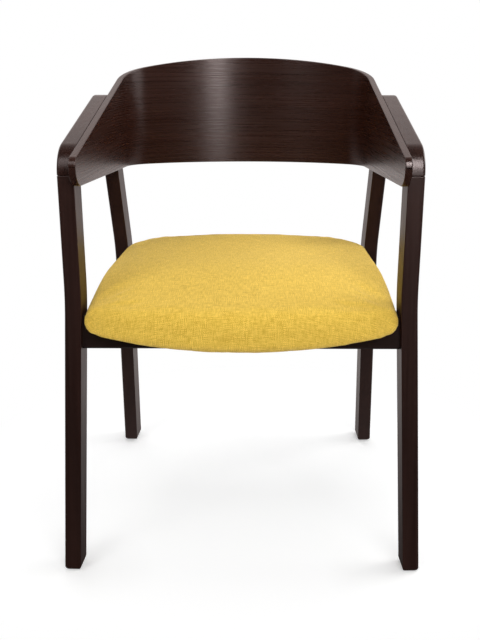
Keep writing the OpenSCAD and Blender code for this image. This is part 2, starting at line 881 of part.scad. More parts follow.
module seat_cover() {
    color(fabric_colour)
        difference() {
            cushion(0);
            cushion(cover_t);
            frame_room();
        }
}

module dust_cover() {
    color(cloth_colour)
        difference() {
            intersection() {
                between_frames(rail_t + seam + soft_gap);
                across(
                    rail_setback + rail_t + soft_gap,
                    rear_rail_y - rail_t / 2 - soft_gap,
                    board_z - dust_t,
                    board_z
                );
            }
            for (side = [left, right])
                for (end = ["front", "rear"])
                    at_block(side, end)
                        seat_screw(soft_gap);
        }
}

module both_sides() {
    for (side = [left, right])
        on_side(side)
            children();
}

module arm_front_dowels() {
    color(hidden_wood_colour)
        both_sides()
            front_joint_dowels();
}

module arm_rear_dowels() {
    color(hidden_wood_colour)
        both_sides()
            rear_joint_dowels();
}

module shell_dowels() {
    color(hidden_wood_colour)
        both_sides()
            shell_joint_dowels();
}

module rail_dowels() {
    color(hidden_wood_colour)
        both_sides() {
            rail_end_dowels();
            side_rail_dowels();
            rear_rail_dowels();
        }
}

module frame_bolts() {
    color(steel_colour)
        both_sides()
            bolts();
}

module threaded_inserts() {
    color(brass_colour)
        both_sides()
            difference() {
                inserts();
                bolts(fit);
            }
}

module corner_block_screws() {
    color(steel_colour)
        for (side = [left, right])
            for (end = ["front", "rear"])
                at_block(side, end)
                    block_screws();
}

module seat_screws() {
    color(steel_colour)
        for (side = [left, right])
            for (end = ["front", "rear"])
                at_block(side, end)
                    seat_screw();
}

module foot_glides() {
    color(glide_colour)
        both_sides()
            glides();
}

front_leg(left);  // front_leg_left
front_leg(right);  // front_leg_right
rear_leg(left);  // rear_leg_left
rear_leg(right);  // rear_leg_right
arm(left);  // arm_left
arm(right);  // arm_right
back_shell();
front_rail();
rear_rail();
side_rail(left);  // side_rail_left
side_rail(right);  // side_rail_right
corner_block(left, "front");  // corner_block_front_left
corner_block(right, "front");  // corner_block_front_right
corner_block(left, "rear");  // corner_block_rear_left
corner_block(right, "rear");  // corner_block_rear_right
seat_board();
seat_nose_block();
seat_foam();
seat_cover();
dust_cover();
arm_front_dowels();
arm_rear_dowels();
shell_dowels();
rail_dowels();
frame_bolts();
threaded_inserts();
corner_block_screws();
seat_screws();
foot_glides();
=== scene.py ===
"""Looks of the wooden armchair, built around its CAD frame. Metres, +Z up, the sitter faces -Y."""

import math

import bpy
import numpy as np
from mathutils import Matrix, Vector


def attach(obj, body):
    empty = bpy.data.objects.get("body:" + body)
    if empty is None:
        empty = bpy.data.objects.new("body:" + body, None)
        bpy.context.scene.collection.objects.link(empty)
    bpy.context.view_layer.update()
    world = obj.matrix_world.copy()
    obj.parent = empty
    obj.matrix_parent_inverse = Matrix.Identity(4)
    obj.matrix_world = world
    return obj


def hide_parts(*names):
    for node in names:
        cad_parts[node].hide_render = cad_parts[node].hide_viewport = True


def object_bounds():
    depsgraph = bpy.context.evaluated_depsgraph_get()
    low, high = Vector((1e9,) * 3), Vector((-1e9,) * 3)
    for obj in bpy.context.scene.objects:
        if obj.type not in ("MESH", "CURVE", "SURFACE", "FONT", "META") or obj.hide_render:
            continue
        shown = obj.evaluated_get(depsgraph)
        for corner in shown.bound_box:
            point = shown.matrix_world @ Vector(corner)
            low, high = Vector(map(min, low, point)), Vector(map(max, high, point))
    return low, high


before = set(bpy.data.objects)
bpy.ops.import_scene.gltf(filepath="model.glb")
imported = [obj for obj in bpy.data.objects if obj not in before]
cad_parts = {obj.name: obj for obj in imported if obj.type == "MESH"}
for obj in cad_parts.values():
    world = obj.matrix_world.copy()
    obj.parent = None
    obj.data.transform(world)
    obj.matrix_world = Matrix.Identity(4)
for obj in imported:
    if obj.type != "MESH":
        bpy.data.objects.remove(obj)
CAD_BOX = [list(map(float, corner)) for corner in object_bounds()]
SCENE = bpy.context.scene
MM = 0.001

# ---------------------------------------------------------------- sizes of the chair
# They are the CAD source's own, but for the seam and the chamfer of the arms' joints. Those are a
# little wider here, so that the joint line shows.

HALF_WIDTH = 269 * MM
FRAME_W = 26 * MM
KNEE_Z = 444 * MM
KNEE_LENGTH = 56 * MM
SPLAY = math.radians(1.7)
FLARE = math.radians(1.85)
TOE_IN = math.radians(2.3)
EDGE_R = 4 * MM
INNER_EDGE_R = 1 * MM
JOINT_CHAMFER = 1.1 * MM
FOOT_R = 6 * MM
GLIDE_STAND = 1 * MM
SEAM = 0.4 * MM

FRONT_FOOT_D = 38 * MM
FRONT_JOINT_Z = 635 * MM
REAR_FOOT_Y = 495 * MM
REAR_FOOT_D = 48 * MM
REAR_LEAN_LOW = math.radians(15.1)
REAR_LEAN_HIGH = math.radians(19.3)
REAR_JOINT_Z = 688 * MM

ARM_FRONT_Z = 671.5 * MM
ARM_SLOPE = math.radians(15.8)
ARM_D = 42 * MM
ARM_FRONT_R = 48 * MM
ARM_REAR_R = 64 * MM

SHELL_T = 11 * MM
GLUE_LINE = 0.1 * MM
SHELL_FRONT = 29 * MM
SHELL_STRAIGHT = 352 * MM
SHELL_CORNER_R = 89 * MM
SHELL_BACK_R = 333 * MM
SHELL_LOW_Z = 620 * MM
SHELL_DROP = math.radians(2)
SHELL_TIP_TOP_R = 16 * MM
SHELL_TIP_LOW_R = 29 * MM
SHELL_EDGE_R = 1.5 * MM

RAIL_TOP_Z = 417 * MM
RAIL_SETBACK = 8 * MM
SEAT_GAP = 3 * MM
SEAT_NOSE = 62 * MM
SEAT_BOW_R = 508 * MM
SEAT_LOW_Z = RAIL_TOP_Z - 37 * MM
SEAT_TOP_Z = RAIL_TOP_Z + 49.5 * MM
SEAT_CROWN = 14 * MM
SEAT_RISE = 14 * MM
SEAT_NOSE_R = 40 * MM
SEAT_SLOPE_L = 190 * MM
SEAT_SLOPE_R = 620 * MM
SEAT_TILT = math.radians(10)
SEAT_LOW_R = 12 * MM
SEAT_EDGE_R = 18 * MM
SEAT_FALL_EDGE_R = 22.5 * MM
SEAT_FRONT_R = 24 * MM
SEAT_CORNER_R = 76 * MM
SEAT_REAR_Y = 425 * MM

# Where the legs' plain sections lie. One section close to each rounding keeps the shading flat between.
HOLD = 1 * MM
LOW_SHAFT = np.linspace(0.1, 0.4, 4)
HIGH_SHAFT = np.linspace(0.5, 0.6, 3)
# The arm's first section round its front corner is clear of the joint's chamfer, and the back shell's
# even sections start past its rounded lower tip.
ARM_FIRST = math.pi - 0.03
SHELL_RUN_START = 40 * MM

# The front legs' front face, worked out from the cushion's nose, which is the chair's foremost point.
FRONT_Y = CAD_BOX[0][1] + SEAT_NOSE

# ---------------------------------------------------------------- shapes of the side frames


def eased(t, half, low, high):
    """Height over t of two lines of slopes low and high through 0, joined by a parabola over +-half."""
    t = np.asarray(t, float)
    bend = low * t + (high - low) * (t + half) ** 2 / (4 * half)
    return np.where(t <= -half, low * t, np.where(t >= half, high * t, bend))


def frame_out(z):
    """How far a side frame's outer face lies outside its place at the bend, at height z."""
    return eased(np.asarray(z) - KNEE_Z, KNEE_LENGTH / 2, -math.tan(SPLAY), math.tan(FLARE))


REAR_KNEE_Y = REAR_FOOT_Y - KNEE_Z * math.tan(REAR_LEAN_LOW)
REAR_TOP_D = ARM_D / math.cos(REAR_LEAN_HIGH)


def rear_y(z):
    """Front face of the rear leg at height z, behind the front legs' front face."""
    low, high = -math.tan(REAR_LEAN_LOW), -math.tan(REAR_LEAN_HIGH)
    return REAR_KNEE_Y + eased(np.asarray(z) - KNEE_Z, KNEE_LENGTH / 2, low, high)


def rear_d(z):
    """Depth of the rear leg at height z."""
    return REAR_FOOT_D + (REAR_TOP_D - REAR_FOOT_D) * np.minimum(np.asarray(z) / REAR_JOINT_Z, 1)


def front_d(z):
    """Depth of the front leg at height z."""
    return FRONT_FOOT_D + (ARM_D - FRONT_FOOT_D) * np.asarray(z) / FRONT_JOINT_Z


def arm_top(y):
    """Height of the line of the arm's top, y behind the legs' front face."""
    return ARM_FRONT_Z + y * math.tan(ARM_SLOPE)


def to_world(points, side):
    """Turns a side frame's axes (outwards, rearwards, up) into the chair's, on the given side."""
    c, s = math.cos(TOE_IN), math.sin(TOE_IN)
    x, y, z = points[..., 0], points[..., 1], points[..., 2]
    return np.stack([side * (HALF_WIDTH + x * c - y * s), FRONT_Y + x * s + y * c, z], -1)


def facing(a):
    """The unit vector at angle a."""
    return np.array([math.cos(a), math.sin(a)])


def corner_outline(x0, y0, x1, y1, outer_r, inner_r, steps=6):
    """Rectangle with quarter-circle corners, anticlockwise, as an array of points.

    The corners at x1 have radius outer_r and those at x0 inner_r. Beside each arc one more point lies
    on the flat, a quarter radius away, so that smooth shading stays flat between the corners.
    """
    points = []
    for cx, cy, r, start in (
        (x1 - outer_r, y1 - outer_r, outer_r, 0),
        (x0 + inner_r, y1 - inner_r, inner_r, 90),
        (x0 + inner_r, y0 + inner_r, inner_r, 180),
        (x1 - outer_r, y0 + outer_r, outer_r, 270),
    ):
        a = np.radians(start + np.linspace(0, 90, steps + 1))
        arc = np.stack([cx + r * np.cos(a), cy + r * np.sin(a)], -1)
        before = arc[0] + 0.25 * r * facing(a[0] - math.pi / 2)
        after = arc[-1] + 0.25 * r * facing(a[-1] + math.pi / 2)
        points += [before[None], arc, after[None]]
    return np.concatenate(points)


def bar_ring(start, inward, depth, inset=0.0):
    """A section of a side frame's bar: a rounded rectangle from start, depth deep along inward.

    Both are (y, z), and inset draws all four sides in.
    """
    flat = corner_outline(inset - FRAME_W, inset, -inset, depth - inset, EDGE_R, INNER_EDGE_R)
    y = start[0] + inward[0] * flat[:, 1]
    z = start[1] + inward[1] * flat[:, 1]
    return np.stack([frame_out(z) + flat[:, 0], y, z], -1)


def quarter(r, steps):
    """(distance from the end, inset) along a quarter circle of radius r, from the end's face inwards."""
    a = np.linspace(0, math.pi / 2, steps + 1)
    return list(zip(r * (1 - np.cos(a)), r * (1 - np.sin(a))))


def leg_levels(top):
    """(height, inset) of a leg's sections: the round foot, the shaft, the bend and the chamfered top."""
    foot = [(GLIDE_STAND + s, inset) for s, inset in quarter(FOOT_R, 8)]
    foot_end = foot[-1][0]
    bend = np.linspace(KNEE_Z - KNEE_LENGTH / 2, KNEE_Z + KNEE_LENGTH / 2, 17)
    shaft = [foot_end + HOLD, *LOW_SHAFT, *bend, *HIGH_SHAFT]
    end = [(top - s, inset) for s, inset in reversed(quarter(JOINT_CHAMFER, 3))]
    return foot + [(z, 0.0) for z in shaft] + [(end[0][0] - HOLD, 0.0)] + end


def front_leg_rings():
    """Sections of a front leg, from the foot up to its joint."""
    levels = leg_levels(FRONT_JOINT_Z - SEAM / 2)
    return np.array([bar_ring((0, z), (1, 0), front_d(z), inset) for z, inset in levels])


def rear_leg_rings():
    """Sections of a rear leg, from the foot up to its joint, each at its own place along the lean."""
    levels = leg_levels(REAR_JOINT_Z - SEAM / 2)
    return np.array([bar_ring((rear_y(z), z), (1, 0), rear_d(z), inset) for z, inset in levels])


def arm_rings():
    """Sections of an arm: up from the front joint, round the front corner, along, and down at the rear.

    Each corner's centre lies its radius below the arm's top line; the front one is also its radius
    behind the legs' front line and the rear one before the rear leg's back line.
    """
    front = (ARM_FRONT_R, arm_top(ARM_FRONT_R) - ARM_FRONT_R / math.cos(ARM_SLOPE))
    lean = math.tan(REAR_LEAN_HIGH)
    rear_drop = ARM_REAR_R / math.cos(ARM_SLOPE)
    back_line = REAR_KNEE_Y + REAR_TOP_D + lean * (KNEE_Z - ARM_FRONT_Z + rear_drop)
    y = (back_line - ARM_REAR_R / math.cos(REAR_LEAN_HIGH)) / (1 + lean * math.tan(ARM_SLOPE))
    rear = (y, arm_top(y) - rear_drop)
    level = math.pi / 2 + ARM_SLOPE

    def on_arc(centre, r, a):
        return bar_ring(np.array(centre) + r * facing(a), -facing(a), ARM_D)

    low, high = FRONT_JOINT_Z + SEAM / 2, REAR_JOINT_Z + SEAM / 2
    rings = [bar_ring((0, low + s), (1, 0), ARM_D, inset) for s, inset in quarter(JOINT_CHAMFER, 3)]
    rings += [on_arc(front, ARM_FRONT_R, a) for a in np.linspace(ARM_FIRST, level, 22)]
    rings += [on_arc(rear, ARM_REAR_R, a) for a in np.linspace(level, REAR_LEAN_HIGH, 26)]
    for s, inset in reversed(quarter(JOINT_CHAMFER, 3)):
        rings.append(bar_ring((rear_y(high + s) + REAR_TOP_D, high + s), (-1, 0), REAR_TOP_D, inset))
    return np.array(rings)


# ---------------------------------------------------------------- shape of the back shell


def plan(x, y):
    """A point of a side frame's plan, on the chair's right side."""
    return to_world(np.array([x, y, 0.0]), 1)[:2]


def rounded(s, r):
    """Inset of a quarter circle of radius r at distance s from the end it rounds."""
    return 0.0 if s >= r else r - math.sqrt(r * r - (r - s) ** 2)


def shell_stations():
    """The right half of the shell's outer plan at the height where the legs bend.

    Each station is (point, outward, distance from the end). A straight run lies on the arm's inner
    face. A corner arc and the back arc follow, each tangent to the last, and the back's centre is on
    the middle line. The stations lie close together where the end's edge and lower tip are rounded.
    """
    x = -FRAME_W - GLUE_LINE
    corner = plan(x - SHELL_CORNER_R, SHELL_STRAIGHT)
    corner_end = math.acos(corner[0] / (SHELL_BACK_R - SHELL_CORNER_R))
    back = corner - (SHELL_BACK_R - SHELL_CORNER_R) * facing(corner_end)
    edge = SHELL_EDGE_R * (1 - np.cos(np.linspace(0, math.pi / 2, 5)))
    tip = SHELL_TIP_LOW_R * (1 - np.cos(np.linspace(0.32, math.pi / 2, 18)))
    tip = tip[tip > edge[-1] + 0.3 * MM]
    last = SHELL_FRONT + SHELL_STRAIGHT
    run = np.concatenate([edge, tip, np.linspace(SHELL_RUN_START, last, 12)])
    stations = [(plan(x, s - SHELL_FRONT), facing(TOE_IN), float(s)) for s in run]
    for a in np.linspace(TOE_IN, corner_end, 25)[1:]:
        stations.append((corner + SHELL_CORNER_R * facing(a), facing(a), last))
    for a in np.linspace(corner_end, math.pi / 2, 29)[1:]:
        stations.append((back + SHELL_BACK_R * facing(a), facing(a), last))
    return stations


def shell_edges(station):
    """Heights of the shell's lower and upper edge at a station.

    The upper edge lies in the plane of the arms' tops, and the shell leans out as the frames flare.
    Near the end both edges follow quarter circles.
    """
    point, outward, s = station
    lean = outward[1] * math.tan(FLARE)
    rise = math.tan(ARM_SLOPE) / math.cos(TOE_IN)
    top = (ARM_FRONT_Z + rise * (point[1] - FRONT_Y - lean * KNEE_Z)) / (1 - rise * lean)
    if s < SHELL_TIP_TOP_R * (1 - math.sin(ARM_SLOPE)):
        drop = SHELL_TIP_TOP_R * (math.tan(ARM_SLOPE) - 1 / math.cos(ARM_SLOPE) + 1)
        top = arm_top(-SHELL_FRONT) + drop - rounded(s, SHELL_TIP_TOP_R)
    low = SHELL_LOW_Z - math.tan(SHELL_DROP) * (point[1] - FRONT_Y) + rounded(s, SHELL_TIP_LOW_R)
    return low, top


def shell_section(station):
    """One section of the shell: a rounded rectangle of (height, outwards), thinned near the end."""
    low, top = shell_edges(station)
    thin = rounded(station[2], SHELL_EDGE_R)
    return corner_outline(low, thin - SHELL_T, top, -thin, SHELL_EDGE_R, SHELL_EDGE_R, 4)


def shell_ring(station):
    """The section in its place, carried outwards by the side frames' flare."""
    point, outward, _ = station
    height, out = shell_section(station).T
    place = point + (out + frame_out(height))[:, None] * outward
    return np.stack([place[:, 0], place[:, 1], height], -1)


def shell_rings():
    """All sections from the right end to the left one, the left half mirrored from the right one."""
    half = np.array([shell_ring(station) for station in shell_stations()])
    return np.concatenate([half, (half * np.array([-1, 1, 1]))[-2::-1]])


def shell_level():
    """The veneer's grain runs level: a point's height, and on the edges also how far out it lies."""
    half = np.array([shell_section(station).sum(1) for station in shell_stations()])
    return np.concatenate([half, half[-2::-1]])


# ---------------------------------------------------------------- meshes


def tube(rows, around):
    """Vertex numbers of rows that each close on themselves, the same moved on by one, and the quads."""
    index = np.arange(rows * around).reshape(rows, around)
    moved = np.roll(index, -1, 1)
    return index, moved, np.stack([index[:-1], moved[:-1], moved[1:], index[1:]], -1).reshape(-1, 4)


def placed_object(name, data):
    """A new object for a mesh, a lamp or a camera, at the origin."""
    obj = bpy.data.objects.new(name, data)
    SCENE.collection.objects.link(obj)
    return obj


def swept(name, rings, flip=False, level=None):
    """A closed mesh through sections, with flat ends. UV: metres along the sections and round them.

    Where level is given, it holds each point's second coordinate instead.
    """
    count, around = rings.shape[:2]
    if flip:
        rings = rings[:, ::-1]
    index, _, quads = tube(count, around)
    mesh = bpy.data.meshes.new(name)
    faces = quads.tolist() + [index[0, ::-1].tolist(), index[-1].tolist()]
    mesh.from_pydata(rings.reshape(-1, 3).tolist(), [], faces)

    middle = rings.mean(1)
    along = np.concatenate([[0], np.cumsum(np.linalg.norm(np.diff(middle, axis=0), axis=1))])
    if level is None:
        steps = np.linalg.norm(np.diff(np.concatenate([rings, rings[:, :1]], 1), axis=1), axis=2)
        girth = np.concatenate([np.zeros((count, 1)), np.cumsum(steps, 1)], 1)
    else:
        girth = np.concatenate([level, level[:, :1]], 1)
    uv = np.stack([np.repeat(along[:, None], around + 1, 1), girth], -1)
    loops = np.stack([uv[:-1, :-1], uv[:-1, 1:], uv[1:, 1:], uv[1:, :-1]], 2).reshape(-1, 2)
    ends = np.concatenate([uv[0, :-1][::-1], uv[-1, :-1]])
    layer = mesh.uv_layers.new(name="grain")
    layer.data.foreach_set("uv", np.concatenate([loops, ends]).astype(np.float32).ravel())
    mesh.polygons.foreach_set("use_smooth", np.ones(len(mesh.polygons), bool))
    mesh.update()
    mesh.set_sharp_from_angle(angle=math.radians(40))
    return placed_object(name, mesh)


def finished(obj, material, slot, *nodes):
    """Gives a piece its material, its body and the CAD nodes that it replaces. The slot is not used."""
    obj.data.materials.clear()
    obj.data.materials.append(material)
    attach(obj, "root")
    if nodes:
        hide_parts(*nodes)


# ---------------------------------------------------------------- shader tools


def group(name, inputs, outputs):
    """A shader node group with named inputs (type, default) and outputs (type)."""
    made = bpy.data.node_groups.new(name, "ShaderNodeTree")
    for label, (kind, default) in inputs.items():
        socket = made.interface.new_socket(label, in_out="INPUT", socket_type=kind)
        if default is not None:
            socket.default_value = default
    for label, kind in outputs.items():
        made.interface.new_socket(label, in_out="OUTPUT", socket_type=kind)
    return made, made.nodes.new("NodeGroupInput"), made.nodes.new("NodeGroupOutput")


class Nodes:
    """Short ways to add and join nodes in one tree."""

    def __init__(self, tree):
        self.tree = tree

    def put(self, socket, value):
        """Joins value to the socket if it is another node's output, and else sets it there."""
        if hasattr(value, "is_output"):
            self.tree.links.new(value, socket)
        elif value is not None:
            socket.default_value = value

    def node(self, kind, settings=None, **inputs):
        """A new node with its settings, and its inputs by name."""
        made = self.tree.nodes.new(kind)
        for key, value in (settings or {}).items():
            setattr(made, key, value)
        for key, value in inputs.items():
            self.put(made.inputs[key.replace("_", " ")], value)
        return made

    def filled(self, kind, settings, *values):
        """The first output of a new node whose inputs take the values in order."""
        made = self.node(kind, settings)
        for socket, value in zip(made.inputs, values):
            self.put(socket, value)
        return made.outputs[0]

    def math(self, operation, *values):
        return self.filled("ShaderNodeMath", {"operation": operation}, *values)

    def vector(self, operation, *values):
        return self.filled("ShaderNodeVectorMath", {"operation": operation}, *values)

    def remap(self, value, low, high, to_low=0.0, to_high=1.0):
        return self.filled("ShaderNodeMapRange", {}, value, low, high, to_low, to_high)

    def choice(self, factor, first, second):
        """The first shader where the factor is 0 and the second where it is 1."""
        return self.filled("ShaderNodeMixShader", {}, factor, first, second)

    def noise(self, vector, scale, detail=2.0, roughness=0.5, distortion=0.0):
        made = self.node("ShaderNodeTexNoise", Vector=vector, Scale=scale, Detail=detail)
        self.put(made.inputs["Roughness"], roughness)
        self.put(made.inputs["Distortion"], distortion)
        return made.outputs["Fac"]

    def mix(self, factor, a, b, blend="MIX"):
        made = self.tree.nodes.new("ShaderNodeMix")
        made.data_type = "RGBA"
        made.blend_type = blend
        self.put(made.inputs["Factor"], factor)
        self.put(made.inputs["A"], a)
        self.put(made.inputs["B"], b)
        return made.outputs["Result"]

    def grey(self, value):
        return self.node("ShaderNodeCombineColor", Red=value, Green=value, Blue=value).outputs[0]


def colour(r, g, b):
    return (r, g, b, 1.0)


# ---------------------------------------------------------------- shared effects


def make_grain_group():
    """Stained close-grained timber. Coordinates are metres, with X along the grain.

    Slow noise, drawn out along the grain, gives the broad figure. Finer and longer streaks give the
    growth lines, and short narrow flecks the pores. Puts out a colour, a roughness and a height.
    """
    made, start, end = group(
        "timber_grain",
        {
            "Coordinates": ("NodeSocketVector", None),
            "Dark": ("NodeSocketColor", colour(0.01, 0.004, 0.003)),
            "Light": ("NodeSocketColor", colour(0.03, 0.013, 0.010)),
            "Roughness": ("NodeSocketFloat", 0.4),
        },
        {"Color": "NodeSocketColor", "Roughness": "NodeSocketFloat", "Height": "NodeSocketFloat"},
    )
    n = Nodes(made)
    at = start.outputs["Coordinates"]
    figure = n.noise(n.vector("MULTIPLY", at, (2.0, 30.0, 30.0)), 1.0, 3.0, 0.55, 0.4)
    lines = n.noise(n.vector("MULTIPLY", at, (4.0, 360.0, 360.0)), 1.0, 4.0, 0.65)
    pores = n.noise(n.vector("MULTIPLY", at, (45.0, 1100.0, 1100.0)), 1.0, 2.0, 0.6)
    streak = n.math("ADD", n.math("MULTIPLY", figure, 0.55), n.math("MULTIPLY", lines, 0.45))
    tone = n.remap(streak, 0.34, 0.66)
    pore = n.remap(pores, 0.54, 0.68)
    body = n.mix(tone, start.outputs["Dark"], start.outputs["Light"])
    n.put(end.inputs["Color"], n.mix(n.math("MULTIPLY", pore, 0.35), body, start.outputs["Dark"]))
    rough = n.math("ADD", start.outputs["Roughness"], n.remap(lines, 0.3, 0.7, -0.07, 0.07))
    n.put(end.inputs["Roughness"], n.math("ADD", rough, n.math("MULTIPLY", pore, 0.05)))
    height = n.math("SUBTRACT", n.math("MULTIPLY", lines, 0.6), n.math("MULTIPLY", pore, 0.4))
    n.put(end.inputs["Height"], height)
    return made


def make_weave_group():
    """Plain weave of slubby yarn. Coordinates are metres, X across the seat and Y along it.

    Each warp and weft thread is a half-round ridge, and the two pass over each other like a
    chequerboard. Every thread has a tone of its own that drifts along its length, and melange fibres
    add fine flecks. The colour is darkened low between the ridges, a painted shade. Puts out a colour
    and a height.
    """
    made, start, end = group(
        "yarn_weave",
        {
            "Coordinates": ("NodeSocketVector", None),
            "Pitch": ("NodeSocketFloat", 0.0014),
            "Dark": ("NodeSocketColor", colour(0.5, 0.3, 0.03)),
            "Light": ("NodeSocketColor", colour(0.9, 0.6, 0.1)),
        },
        {"Color": "NodeSocketColor", "Height": "NodeSocketFloat"},
    )
    n = Nodes(made)
    at = start.outputs["Coordinates"]
    wander = n.node("ShaderNodeTexNoise", Vector=at, Scale=160.0, Detail=2.0)
    drift = n.vector("SUBTRACT", wander.outputs["Color"], (0.5, 0.5, 0.5))
    at = n.vector("ADD", at, n.vector("MULTIPLY", drift, (0.0009, 0.0009, 0.0)))
    pitch = start.outputs["Pitch"]
    split = n.node("ShaderNodeSeparateXYZ", Vector=at)
    across = n.math("DIVIDE", split.outputs["X"], pitch)
    down = n.math("DIVIDE", split.outputs["Y"], pitch)
    warp_id, weft_id = n.math("FLOOR", across), n.math("FLOOR", down)

    def ridge(t):
        centred = n.math("SUBTRACT", n.math("FRACT", t), 0.5)
        return n.math("SUBTRACT", 1.0, n.math("MULTIPLY", n.math("MULTIPLY", centred, centred), 4.0))

    parity = n.math("MODULO", n.math("ABSOLUTE", n.math("ADD", warp_id, weft_id)), 2.0)
    over = n.math("GREATER_THAN", parity, 0.5)

    def thread_tone(x, y, z):
        return n.noise(n.node("ShaderNodeCombineXYZ", X=x, Y=y, Z=z).outputs[0], 0.9, 2.0)

    slow_down, slow_across = n.math("MULTIPLY", down, 0.12), n.math("MULTIPLY", across, 0.12)
    warp_tone = thread_tone(warp_id, slow_down, 0.0)
    weft_tone = thread_tone(slow_across, weft_id, 40.0)
    thread = n.mix(over, warp_tone, weft_tone)
    height = n.mix(over, ridge(across), ridge(down))
    fleck = n.noise(at, 900.0, 2.0, 0.7)
    cloud = n.noise(at, 38.0, 3.0, 0.6)
    tone = n.math("ADD", n.math("MULTIPLY", thread, 0.72), n.math("MULTIPLY", fleck, 0.22))
    tone = n.math("ADD", tone, n.math("MULTIPLY", cloud, 0.08))
    tone = n.remap(tone, 0.40, 0.64)
    shade = n.mix(tone, start.outputs["Dark"], start.outputs["Light"])
    # Painted shade: the colour is darkened to 0.8 low between the thread ridges.
    painted_gap_shade = n.remap(height, 0.0, 0.55, 0.80, 1.0)
    n.put(end.inputs["Color"], n.mix(1.0, shade, n.grey(painted_gap_shade), "MULTIPLY"))
    n.put(end.inputs["Height"], n.math("ADD", height, n.math("MULTIPLY", fleck, 0.6)))
    return made


GRAIN = make_grain_group()
WEAVE = make_weave_group()


def new_material(name):
    """A new material, its node tools and its shader."""
    made = bpy.data.materials.new(name)
    made.use_nodes = True
    n = Nodes(made.node_tree)
    return made, n, made.node_tree.nodes["Principled BSDF"]


def timber(
    name, dark, light, roughness,
    turn=(0, 0, 0), offset=(0, 0, 0), uv=False, bump=0.12, ior=1.36, streak=0.0,
):
    """A satin-lacquered timber. turn is the Mapping rotation that lays the grain along X.

    With uv the grain follows the piece's own UV map, and streak draws reflections out across it.
    """
    made, n, shader = new_material(name)
    where = n.node("ShaderNodeTexCoord").outputs["Object"]
    if uv:
        where = n.node("ShaderNodeUVMap", {"uv_map": "grain"}).outputs[0]
    mapping = n.node("ShaderNodeMapping", Vector=where)
    mapping.inputs["Rotation"].default_value = turn
    mapping.inputs["Location"].default_value = offset
    grain = n.node("ShaderNodeGroup", {"node_tree": GRAIN}, Coordinates=mapping.outputs[0])
    grain.inputs["Dark"].default_value = colour(*dark)
    grain.inputs["Light"].default_value = colour(*light)
    grain.inputs["Roughness"].default_value = roughness
    n.put(shader.inputs["Base Color"], grain.outputs["Color"])
    n.put(shader.inputs["Roughness"], grain.outputs["Roughness"])
    shader.inputs["IOR"].default_value = ior
    shader.inputs["Specular Tint"].default_value = colour(1.0, 0.88, 0.87)
    bumped = n.node("ShaderNodeBump", Height=grain.outputs["Height"], Strength=bump, Distance=0.0002)
    n.put(shader.inputs["Normal"], bumped.outputs[0])
    if streak:
        shader.inputs["Anisotropic"].default_value = streak
        shader.inputs["Anisotropic Rotation"].default_value = 0.25
        tangent = n.node("ShaderNodeTangent", {"direction_type": "UV_MAP", "uv_map": "grain"})
        n.put(shader.inputs["Tangent"], tangent.outputs[0])
    return made


STAIN_DARK = (0.0128, 0.0042, 0.0027)
STAIN_LIGHT = (0.0285, 0.0098, 0.0066)
VENEER_DARK = (0.0165, 0.0050, 0.0029)
VENEER_LIGHT = (0.0315, 0.0108, 0.0070)
# The rails' colours are the legs' stain darkened, a painted shade for the shadow under the seat.
SHADED_RAIL_DARK = (0.0070, 0.0026, 0.0018)
SHADED_RAIL_LIGHT = (0.0150, 0.0056, 0.0040)
BIRCH_DARK = (0.42, 0.28, 0.15)
BIRCH_LIGHT = (0.60, 0.44, 0.27)
MUSTARD_DARK = (0.60, 0.37, 0.036)
MUSTARD_LIGHT = (0.90, 0.61, 0.100)
YARN_PITCH = 1.5 * MM
# The first two lay the grain along a piece, and the third takes it from another part of the pattern.
ALONG_Z = (0, math.radians(90), 0)
ALONG_Y = (0, 0, math.radians(-90))
OTHER_PLANK = (0.3, 0.2, 0.1)

FRONT_LEG_WOOD = timber("stained_front_leg", STAIN_DARK, STAIN_LIGHT, 0.38, ALONG_Z, ior=1.42)
REAR_LEG_WOOD = timber("stained_rear_leg", STAIN_DARK, STAIN_LIGHT, 0.38, ALONG_Z, OTHER_PLANK, ior=1.42)
ARM_WOOD = timber("stained_arm", STAIN_DARK, STAIN_LIGHT, 0.30, ALONG_Y, ior=1.45, bump=0.04)
SHELL_WOOD = timber(
    "stained_veneer", VENEER_DARK, VENEER_LIGHT, 0.28, uv=True, bump=0.15, ior=1.5, streak=0.5
)
# The rail finishes carry that painted shade in their colours.
SHADED_RAIL_WOOD_X = timber("stained_and_shaded_cross_rail", SHADED_RAIL_DARK, SHADED_RAIL_LIGHT, 0.45)
SHADED_RAIL_WOOD_Y = timber("stained_and_shaded_side_rail", SHADED_RAIL_DARK, SHADED_RAIL_LIGHT, 0.45, ALONG_Y)
PLAIN_WOOD = timber("raw_birch", BIRCH_DARK, BIRCH_LIGHT, 0.6, ior=1.45)


def cloth_yellow():
    """The seat's mustard cloth: the weave on the piece's own UV map, with a soft warm sheen."""
    made, n, shader = new_material("mustard_weave")
    where = n.node("ShaderNodeUVMap", {"uv_map": "cloth"}).outputs[0]
    weave = n.node("ShaderNodeGroup", {"node_tree": WEAVE}, Coordinates=where)
    weave.inputs["Pitch"].default_value = YARN_PITCH
    weave.inputs["Dark"].default_value = colour(*MUSTARD_DARK)
    weave.inputs["Light"].default_value = colour(*MUSTARD_LIGHT)
    n.put(shader.inputs["Base Color"], weave.outputs["Color"])
    shader.inputs["Roughness"].default_value = 0.92
    shader.inputs["IOR"].default_value = 1.3
    shader.inputs["Sheen Weight"].default_value = 0.25
    shader.inputs["Sheen Roughness"].default_value = 0.5
    shader.inputs["Sheen Tint"].default_value = colour(1.0, 0.86, 0.55)
    bumped = n.node("ShaderNodeBump", Height=weave.outputs["Height"], Strength=0.5, Distance=0.0004)
    n.put(shader.inputs["Normal"], bumped.outputs[0])
    return made


